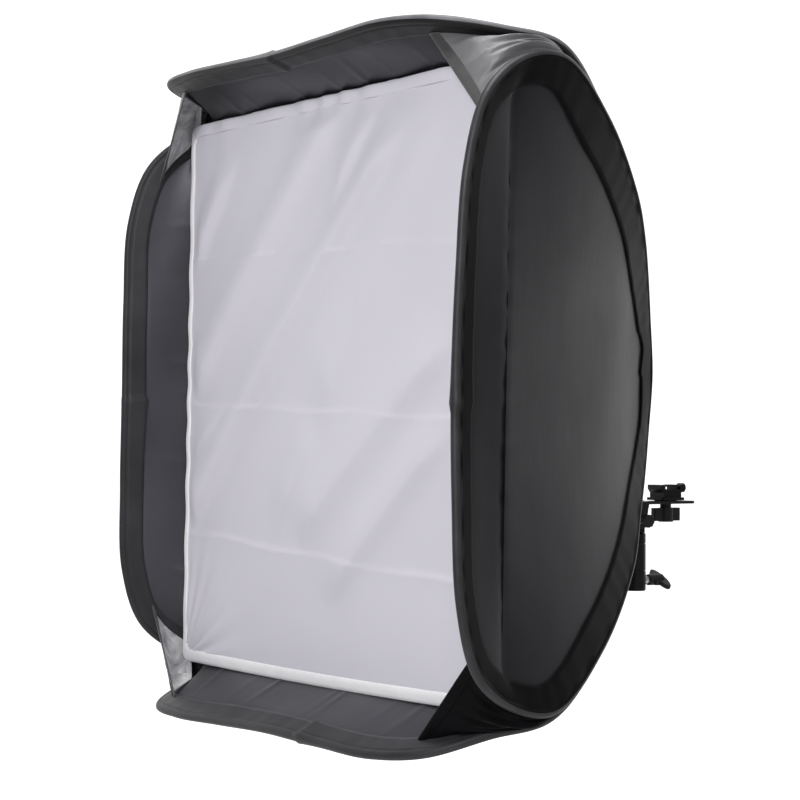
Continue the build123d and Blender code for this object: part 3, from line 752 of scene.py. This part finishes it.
def make_facing(side, quarters, smooth, row):
    lip = lip_surface(smooth, row)
    verts = spot(turned(lip, quarters)).reshape(-1, 3)
    # each lip takes the satin copy painted with its own side's light and shade
    facing = mesh_piece(f"lip_cloth_{side}", verts, grid_faces(*lip.shape[:2]), [LIP_LIT_AND_SHADED_CLOTH[side]], "bracket")
    give_thickness(facing, THIN_CLOTH)
    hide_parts(f"lip_{side}")


def binding_slot(strip):
    """Which material a strip of the binding takes: the outer flap's, the rim's painted highlight or the inner
    flap's lit copy of the tape.
    """
    if strip < OUTER_STRIPS:
        return 0
    if strip < INNER_STRIPS_FROM:
        return 1
    return 2


def make_binding(side, quarters, curve, frames, cloth):
    verts, faces = binding_piece(quarters, curve, frames, cloth)
    # the top hoop's rim takes the brighter painted highlight, and its inner flap the darker copy as painted
    # shade
    rim = TOP_RIM_HIGHLIGHT if side == "top" else RIM_HIGHLIGHT
    facing = SHADED_INNER_FLAP if side == "top" else LIT_INNER_FLAP
    materials = [TAPE, rim, facing]
    tape = mesh_piece(f"binding_tape_{side}", spot(turned(verts, quarters)), faces, materials, "bracket")
    across = len(faces) // HOOP_STEPS
    for polygon in tape.data.polygons:
        polygon.material_index = binding_slot(polygon.index % across)
    give_thickness(tape, THIN_CLOTH)
    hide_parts(f"binding_{side}")


def make_side(side, quarters):
    """One side's panel, facing and binding, and what the pieces sewn to it need."""
    smooth, row = panel_grid(quarters)
    g = panel_details(smooth, row)
    curve = closed_spline(hoop_controls(quarters), HOOP_STEPS)
    frames = hoop_frames(curve, g)
    fine = refine(g, 2)
    faces = [face[::-1] for face in grid_faces(fine.shape[0], fine.shape[1])]
    panel = make_panel(side, quarters, fine, faces)
    make_facing(side, quarters, smooth, row)
    cloth = BVHTree.FromPolygons(fine.reshape(-1, 3).tolist(), faces)
    make_binding(side, quarters, curve, frames, cloth)
    return smooth, row, curve, frames


def make_wires():
    """The sprung hoops inside their bindings, and the crimped tubes that join their ends."""
    for quarters, side in enumerate(SIDES):
        curve = closed_spline(hoop_controls(quarters), HOOP_STEPS)
        verts, faces = tube(curve, WIRE_RADIUS)
        wire = mesh_piece(f"hoop_wire_{side}", spot(turned(verts, quarters)), faces, [SPRING], "bracket")
        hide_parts(f"hoop_{side}")
    for quarters, side in enumerate(SIDES):
        curve = closed_spline(hoop_controls(quarters), HOOP_STEPS)
        start = np.vstack([curve[-4:], curve[:5]])
        verts, faces = tube(start, CRIMP_RADIUS, closed=False)
        crimp = mesh_piece(f"hoop_crimp_{side}", spot(turned(verts, quarters)), faces, [SPRING], "bracket")
        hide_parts("hoop_ferrules")


make_wires()
sides = [make_side(side, quarters) for quarters, side in enumerate(SIDES)]


# ---------------------------------------------------------------- the corner gussets
GUSSET_STEPS = 44  # from the free edge back, and from one hoop to the other
GUSSET_COLUMNS = 46
# The top gussets' outer cloth is the lit gusset cloth; the bottom ones take the darkest tape as painted
# shade, and so does the bottom-right one's edging.
EDGING_WITH_PAINTED_SHADE = {"top_right": ELASTIC, "top_left": ELASTIC, "bottom_left": ELASTIC, "bottom_right": TAPE}
OUTSIDE_LIT_AND_SHADED = {"top_right": LIT_GUSSET, "top_left": LIT_GUSSET, "bottom_left": TAPE, "bottom_right": TAPE}
GUSSET_BULGE = 0.016  # the diffuser's corner pushes the web outward
# Section of the hem on the free edge: back from the edge, and outward.
GUSSET_HEM = [
    (0.009, 0.0007),
    (0.0075, 0.0013),
    (0.005, 0.0010),
    (0.0035, 0.0014),
    (0.0, 0.0013),
    (-0.0008, 0.0),
    (0.0, -0.0013),
    (0.0035, -0.0014),
    (0.005, -0.0010),
    (0.0075, -0.0013),
    (0.009, -0.0007),
]


def gusset_edge(quarters, half):
    """Where a gusset is sewn inside one hoop: from its front corner back to where the hoops meet."""
    _, _, curve, (_, inward, outward) = sides[quarters]
    front = np.argmin(np.linalg.norm(curve - (0.327, -0.040, 0.236 * half), axis=1))
    rear = np.argmin(np.linalg.norm(curve - (0.290, 0.084, 0.290 * half), axis=1))
    steps = np.linspace(front, rear, GUSSET_STEPS)
    share = np.linspace(0, 1, GUSSET_STEPS)[:, None]

    def along(values):
        return np.stack([np.interp(steps, np.arange(len(values)), values[:, k]) for k in range(3)], 1)

    aside = along(inward) * (0.017 - 0.015 * share)
    line = along(curve) + aside - along(outward) * (0.0050 - 0.0033 * share)
    return turned(line, quarters)


def make_gusset(corner, quarters):
    """A web between this side's hoop and the next one's, slack between them."""
    a = gusset_edge(quarters, 1)
    b = gusset_edge((quarters + 1) % 4, -1)
    s = np.linspace(0, 1, GUSSET_COLUMNS)[None]
    u = np.linspace(0, 1, GUSSET_STEPS)[:, None]
    g = a[:, None] * (1 - s[..., None]) + b[:, None] * s[..., None]
    middle = unit(((a[0] + b[0]) / 2 * (1, 0, 1))[None])[0]
    phase = random_phases(5)
    arch = 4 * s * (1 - s)
    crinkle = 0.0018 * np.sin(19 * s + 3 * u + phase[0]) + 0.0013 * np.sin(37 * s - 5 * u + phase[1])
    crinkle = (crinkle + 0.0006 * np.sin(61 * s + 9 * u + phase[2])) * smooth_step((1 - u) / 0.35)
    flat = smooth_step((u - 0.07) / 0.2)
    depth = (crinkle + GUSSET_BULGE * np.sin(math.pi * u)) * arch * flat
    g = g + middle * depth[..., None]
    fine = refine(g, 2)
    faces = [face[::-1] for face in grid_faces(*fine.shape[:2])]
    web_faces = len(faces)
    # a small fan of the same cloth closes the box between the web and the diffuser's corner
    row = fine[np.argmin(np.abs(fine[:, fine.shape[1] // 2, 1] - SEAM_BACK))]
    tip = np.sign(middle) * (HALF_WIDTH - 0.008, 0, HALF_HEIGHT - 0.008) + (0, SEAM_BACK, 0)
    fan = np.array([row * (1 - t) + tip * t for t in np.linspace(0, 0.96, 9)])
    verts = np.concatenate([spot(fine).reshape(-1, 3), spot(fan).reshape(-1, 3)])
    faces += grid_faces(*fan.shape[:2], start=fine.shape[0] * fine.shape[1])
    web = mesh_piece(f"gusset_cloth_{corner}", verts, faces, [OUTSIDE_LIT_AND_SHADED[corner], SILVER], "bracket")
    for polygon in web.data.polygons[web_faces:]:
        polygon.material_index = 1
    give_thickness(web, THIN_CLOTH, inner_slot=1)
    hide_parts(f"gusset_{corner}")
    return g, middle


def make_gusset_hem(corner, g, middle):
    """Elastic edging folded round the web's free edge; the bottom-right one takes the dark tape instead, as
    painted shade.
    """
    edge = g[0]
    back = unit(g[6] - edge)
    rows = []
    for along, up in GUSSET_HEM:
        rows.append(edge + back * along + middle * up)
    hem = np.array(rows)
    verts = spot(hem).reshape(-1, 3)
    piece = mesh_piece(f"gusset_hem_{corner}", verts, grid_faces(*hem.shape[:2]), [EDGING_WITH_PAINTED_SHADE[corner]], "bracket")
    give_thickness(piece, 0.0005)
    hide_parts("gusset_hems")


for quarters, corner in enumerate(CORNERS):
    web_grid, outward_middle = make_gusset(corner, quarters)
    make_gusset_hem(corner, web_grid, outward_middle)


# ---------------------------------------------------------------- the diffuser
FOLD_DEPTH = 2.2  # how much deeper than their listed heights the folds below are
DIFFUSER_COLUMNS = 300
DIFFUSER_ROWS = 290
CREASES = [(0.137, -0.024), (-0.022, -0.034), (-0.166, -0.053)]  # pressed creases: height and slope
HEM_STEPS = 900
# Section of the hem: inset from the diffuser's edge, and place back from its face.
HEM_PROFILE = [
    (-0.001, 0.0006),
    (0.0, -0.0008),
    (0.003, -0.0014),
    (0.007, -0.0015),
    (0.0105, -0.0013),
    (0.0118, -0.0003),
]
# Soft folds pulled across the diffuser at 45 degrees, from low left to high right: sideways place of
# each one at its low and its high end, the distances along the diagonal where it starts and stops,
# its half width, and its height.
PULLED_FOLDS = [
    (-0.300, -0.312, -0.11, 0.03, 0.010, 0.0034),
    (-0.199, -0.184, -0.20, 0.21, 0.013, 0.0044),
    (-0.152, -0.130, -0.25, -0.15, 0.008, 0.0024),
    (-0.106, -0.072, -0.30, 0.27, 0.012, 0.0056),
    (-0.120, -0.128, 0.14, 0.25, 0.009, 0.0030),
    (0.020, -0.040, -0.02, 0.32, 0.022, 0.0036),
    (0.035, 0.025, -0.16, -0.02, 0.012, 0.0022),
    (0.078, 0.130, -0.13, 0.19, 0.015, 0.0040),
    (0.157, 0.190, -0.13, 0.13, 0.012, 0.0036),
]


def top_gather(across):
    return np.sin(across * 105 + 3 * np.sin(across * 21))


def left_gather(up):
    return np.sin(up * 120 + 2 * np.sin(up * 17))


def diffuser_surface():
    """The white cloth, hooked at its edges: pulled folds, and pressed creases."""
    x = np.linspace(-1, 1, DIFFUSER_COLUMNS)[None]
    z = np.linspace(-1, 1, DIFFUSER_ROWS)[:, None]
    edge = np.minimum(1 - np.abs(x), 1 - np.abs(z))
    inside = smooth_step(edge / 0.12)
    px = x * HALF_WIDTH + 0 * z
    pz = z * HALF_HEIGHT + 0 * x
    lift = -0.006 * (1 - x**2) * (1 - z**2)
    lean = (px - pz) / math.sqrt(2)
    along = (px + pz) / math.sqrt(2)
    for start, end, first, last, width, height in PULLED_FOLDS:
        share = np.clip((along - first) / (last - first), 0, 1)
        centre = start + (end - start) * share
        reach = smooth_step((along - first + 0.02) / 0.07) * smooth_step((last - along + 0.02) / 0.07)
        offset = (lean - centre) / width
        offset = np.where(offset < 0, offset / 2.6, offset)
        lift = lift - FOLD_DEPTH * height * np.exp(-(offset**2)) * reach * inside
    for level, slope in CREASES:
        crease = level + slope * px + 0.0015 * np.sin(px * 31 + level * 30)
        step = (pz - crease) / 0.0022
        lift = lift - 0.0012 * np.exp(-np.abs(step)) * inside
        lift = lift + 0.0009 * np.tanh(step) * np.exp(-np.abs(pz - crease) / 0.02) * inside
    top = np.exp(-(1 - z) / 0.06)
    lift = lift + 0.0016 * top * top_gather(px) * (1 - x**6)
    left = np.exp(-(1 + x) / 0.05)
    lift = lift + 0.0008 * left * left_gather(pz) * (1 - z**6)
    right = np.exp(-(1 - x) / 0.04)
    lift = lift + 0.0012 * right * np.sin(pz * 105 + 1.5) * (1 - z**6)
    corner = np.hypot(px + HALF_WIDTH, pz + HALF_HEIGHT)
    angle = np.arctan2(pz + HALF_HEIGHT, px + HALF_WIDTH)
    lift = lift + 0.0020 * np.sin(angle * 26) * np.exp(-corner / 0.07) * smooth_step(corner / 0.02)
    bow_down = HEM_SAG * (1 - x**2) * np.clip(-z, 0, 1) ** 6
    rise = 0.0015 * np.sin(px * 70) * top
    return np.stack([px, lift - 0.001 + 0 * px, pz - bow_down + rise], -1)


def round_corners(points, half_x, half_z, radius):
    """Draw the corners of a rectangular sheet in to a round."""
    p = points.copy()
    cx = np.abs(p[..., 0]) - (half_x - radius)
    cz = np.abs(p[..., 2]) - (half_z - radius)
    both = (cx > 0) & (cz > 0)
    big = np.maximum(cx, cz)
    length = np.hypot(cx, cz)
    factor = np.where(both & (length > 1e-9), big / np.maximum(length, 1e-9), 1.0)
    p[..., 0] = np.where(both, np.sign(p[..., 0]) * (half_x - radius + cx * factor), p[..., 0])
    p[..., 2] = np.where(both, np.sign(p[..., 2]) * (half_z - radius + cz * factor), p[..., 2])
    return p


def make_diffuser():
    surface = diffuser_surface()
    surface = round_corners(surface, HALF_WIDTH, HALF_HEIGHT, CORNER_RADIUS)
    rows, columns = surface.shape[:2]
    verts = spot(surface).reshape(-1, 3)
    cloth = mesh_piece("diffuser_cloth", verts, grid_faces(rows, columns), [WHITE], "bracket")
    give_thickness(cloth, THIN_CLOTH)
    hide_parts("front_diffuser")


def make_hem():
    """The doubled hem round the diffuser's edge, along the bottom, right, top and left in turn."""
    bottom, top, left = 0, 2, 3
    around = np.linspace(0, 4, HEM_STEPS, endpoint=False)
    side = around.astype(int) % 4
    t = (around - side) * 2 - 1
    on_side = [side == k for k in range(4)]
    x = np.select(on_side, [t, 1 + 0 * t, -t, -1 + 0 * t])
    z = np.select(on_side, [-1 + 0 * t, t, 1 + 0 * t, -t])
    loops = []
    for inset, back in HEM_PROFILE:
        p = np.stack([x * (HALF_WIDTH - inset), 0 * x, z * (HALF_HEIGHT - inset)], -1)
        p = round_corners(p, HALF_WIDTH - inset, HALF_HEIGHT - inset, CORNER_RADIUS)
        p[:, 0] -= 0.45 * max(inset, 0) * np.clip(-p[:, 0] / HALF_WIDTH, 0, 1) ** 8
        gather = 0.0016 * top_gather(p[:, 0]) * (side == top)
        gather = gather + 0.0006 * left_gather(p[:, 2]) * (side == left)
        p[:, 1] = back - 0.001 + gather * (1 - t**6)
        p[:, 2] -= HEM_SAG * (1 - (p[:, 0] / HALF_WIDTH) ** 2) * (side == bottom)
        loops.append(p)
    hem = np.array(loops)
    faces = grid_faces(len(loops), HEM_STEPS, wrap=True)
    piece = mesh_piece("diffuser_hem_cloth", spot(hem).reshape(-1, 3), faces, [HEM, WHITE], "bracket")
    # the top side takes the plain diffusion cloth instead of the whiter hem, as painted shade on the hem that
    # faces down
    for polygon in piece.data.polygons:
        polygon.material_index = int(polygon.index % HEM_STEPS // (HEM_STEPS // 4) == top)
    give_thickness(piece, 0.0008)
    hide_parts("diffuser_hem")


make_diffuser()
make_hem()


def make_ledges():
    """The black flange that joins the diffuser's tape to the panels, all the way round."""
    steps = 200
    for quarters, side in enumerate(SIDES):
        smooth, row = sides[quarters][:2]
        half = HALF_HEIGHT if quarters % 2 == 0 else HALF_WIDTH
        reach = HALF_WIDTH if quarters % 2 == 0 else HALF_HEIGHT
        v = np.linspace(-1, 1, steps)
        share = np.linspace(-1, 1, smooth.shape[1])
        seam = np.stack([np.interp(v, share, smooth[row, :, k]) for k in range(3)], -1)
        inner = np.stack([0 * v + reach - 0.014, 0 * v + 0.0045, v * (half - 0.006)], -1)
        ledge = np.array([seam * (1 - t) + inner * t for t in np.linspace(0, 1, 6)])
        verts = spot(turned(ledge, quarters)).reshape(-1, 3)
        # the flange takes the darkest tape as painted shade: it reads as the shadow line between the facing
        # and the diffuser
        piece = mesh_piece(f"flange_{side}", verts, grid_faces(*ledge.shape[:2]), [TAPE], "bracket")
        give_thickness(piece, 0.0008)


make_ledges()


# ---------------------------------------------------------------- the rear collar
def make_collar():
    """Elasticated cloth from the four rear hoop edges in to the ring, gathered at the ring."""
    steps = 360
    angle = np.linspace(0, math.tau, steps, endpoint=False)
    ring_y = CHAMBER_DEPTH - 0.0016
    inner = 0.0545
    loops = []
    square = np.maximum(np.abs(np.cos(angle)), np.abs(np.sin(angle)))
    for share in np.linspace(0, 1, 12):
        outer = np.minimum(0.078 / square, 0.096)
        radius = inner + (outer - inner) * share
        corner = (1 / square - 1) / (math.sqrt(2) - 1)
        back = ring_y - share**2 * (0.004 + 0.013 * corner)
        fold = 0.0009 * np.sin(angle * 44) * (1 - share) ** 0.5 * (share > 0.25)
        loops.append(np.stack([radius * np.cos(angle), back + fold, radius * np.sin(angle)], -1))
    collar = np.array(loops)
    verts = spot(collar).reshape(-1, 3)
    faces = grid_faces(len(loops), steps, wrap=True)
    piece = mesh_piece("collar_cloth", verts, faces, [NYLON, SILVER], "bracket")
    give_thickness(piece, 0.0010, inner_slot=1)
    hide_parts("rear_collar")


make_collar()
finish_cad_nodes()


# ---------------------------------------------------------------- floor, light and camera
def make_stage():
    """A pale sweep: floor, a long curve, and a backdrop."""
    floor = -0.95
    profile = [(-6.0, floor), (2.6, floor)]
    for step in range(1, 17):
        turn = math.radians(90 * step / 16)
        profile.append((2.6 + 1.6 * math.sin(turn), floor + 1.6 * (1 - math.cos(turn))))
    profile.append((4.2, 6.0))
    verts = []
    for y, z in profile:
        for x in (-9.0, 9.0):
            verts.append((x, y, z))
    faces = [(2 * i, 2 * i + 1, 2 * i + 3, 2 * i + 2) for i in range(len(profile) - 1)]
    mesh = bpy.data.meshes.new("sweep")
    mesh.from_pydata(verts, [], faces)
    for polygon in mesh.polygons:
        polygon.use_smooth = True
    sweep = bpy.data.objects.new("sweep", mesh)
    bpy.context.scene.collection.objects.link(sweep)
    paper = Shader("pale_paper", (0.72, 0.72, 0.72), 0.9)
    height = paper.node("ShaderNodeSeparateXYZ")
    paper.link(paper.where, height.inputs[0])
    glow = paper.node("ShaderNodeMapRange")
    glow.inputs["From Min"].default_value = floor
    glow.inputs["From Max"].default_value = floor + 0.25
    glow.inputs["To Max"].default_value = 0.75
    paper.link(height.outputs["Z"], glow.inputs["Value"])
    paper.bsdf.inputs["Emission Color"].default_value = (1, 1, 1, 1)
    paper.link(glow.outputs["Result"], paper.bsdf.inputs["Emission Strength"])
    mesh.materials.append(paper.material)
    sweep.rotation_euler = (0, 0, math.radians(58))


def area_light(name, place, target, size, power):
    light = bpy.data.lights.new(name, "AREA")
    light.shape = "RECTANGLE"
    light.size, light.size_y = size
    light.energy = power
    lamp = bpy.data.objects.new(name, light)
    lamp.location = place
    lamp.rotation_euler = (Vector(target) - Vector(place)).to_track_quat("-Z", "Y").to_euler()
    bpy.context.scene.collection.objects.link(lamp)


def make_lights():
    world = bpy.data.worlds.new("studio")
    world.use_nodes = True
    world.node_tree.nodes["Background"].inputs["Color"].default_value = (1, 1, 1, 1)
    world.node_tree.nodes["Background"].inputs["Strength"].default_value = 0.34
    bpy.context.scene.world = world
    area_light("key", (2.0, -2.9, 1.5), (0, -0.2, 0.2), (0.8, 0.8), 55)
    area_light("side", (2.9, -0.5, 0.6), (0.1, -0.2, 0.25), (0.7, 0.9), 2)
    area_light("top", (0.2, -0.4, 2.6), (0, -0.3, 0.4), (1.4, 1.4), 46)


CAMERA_TARGET = Vector((0.038, -0.3205, 0.168))
CAMERA_AZIMUTH = 58.1
CAMERA_DISTANCE = 2.383
CAMERA_LENS = 108.6
CAMERA_SHIFT = 0.0421


def make_camera():
    data = bpy.data.cameras.new("camera")
    data.sensor_width = 36
    data.lens = CAMERA_LENS
    data.shift_y = CAMERA_SHIFT
    camera = bpy.data.objects.new("camera", data)
    angle = math.radians(CAMERA_AZIMUTH)
    back = Vector((math.sin(angle), -math.cos(angle), 0))
    camera.location = CAMERA_TARGET + back * CAMERA_DISTANCE
    camera.rotation_euler = (math.radians(90), 0, angle)
    bpy.context.scene.collection.objects.link(camera)
    bpy.context.scene.camera = camera


make_stage()
make_lights()
make_camera()
bpy.context.scene.view_settings.view_transform = "Standard"
